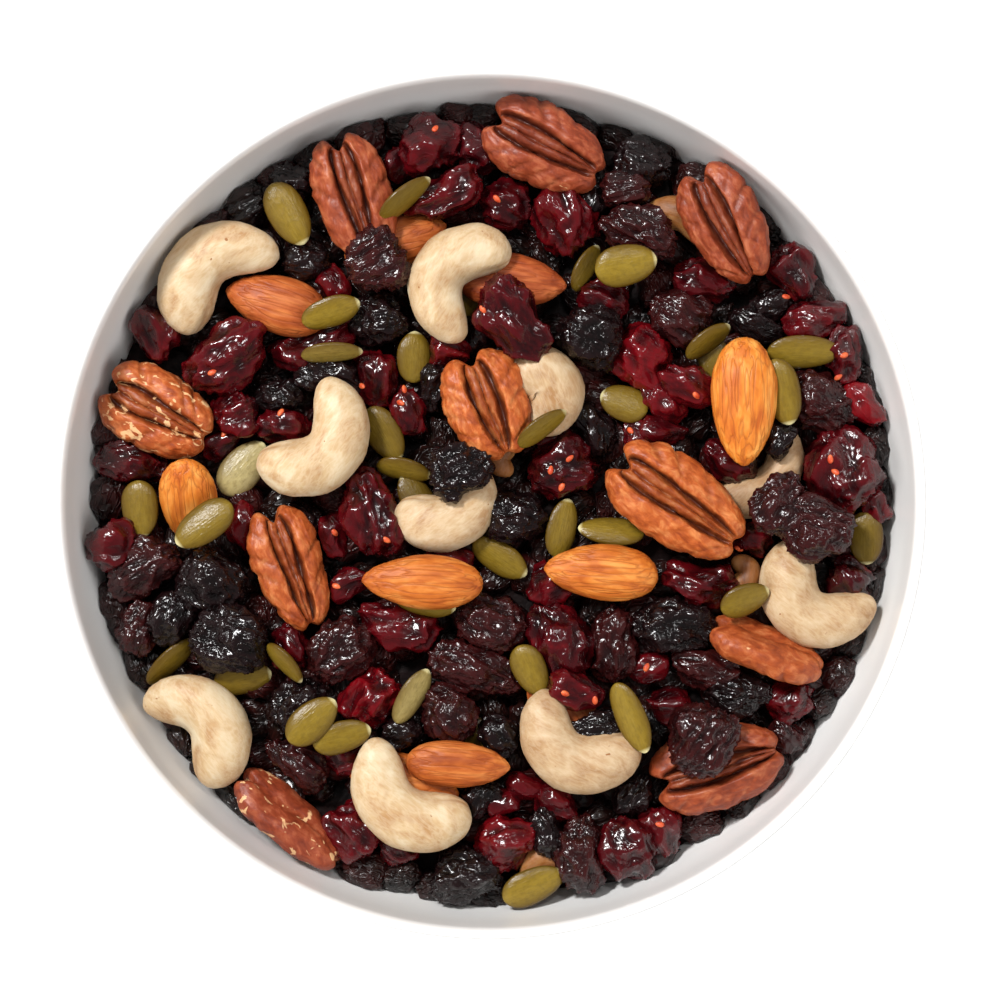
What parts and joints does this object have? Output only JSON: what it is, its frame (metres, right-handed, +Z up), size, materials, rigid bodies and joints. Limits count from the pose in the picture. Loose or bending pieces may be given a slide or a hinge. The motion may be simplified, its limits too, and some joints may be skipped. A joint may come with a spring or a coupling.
{
  "type": "bowl of trail mix",
  "caption": "Round white porcelain bowl on a low foot ring, heaped with a trail mix of nuts, pumpkin seeds, raisins and dried cranberries.",
  "frame": {"origin": "centre of the foot ring's standing face, on the bowl's axis", "axes": "+Z up along the bowl's axis, +Y towards the top of the view from above, +X to its right"},
  "size_m": [0.174, 0.174, 0.062],
  "materials": {
    "white_glaze": "glossy white glaze",
    "mixed_nuts_and_fruit": "food: nuts with a dull skin and shiny wrinkled dried fruit, mostly dark red-brown"
  },
  "bodies": {
    "root": {"bowl": "white_glaze", "trail_mix": "mixed_nuts_and_fruit"}
  },
  "joints": []
}
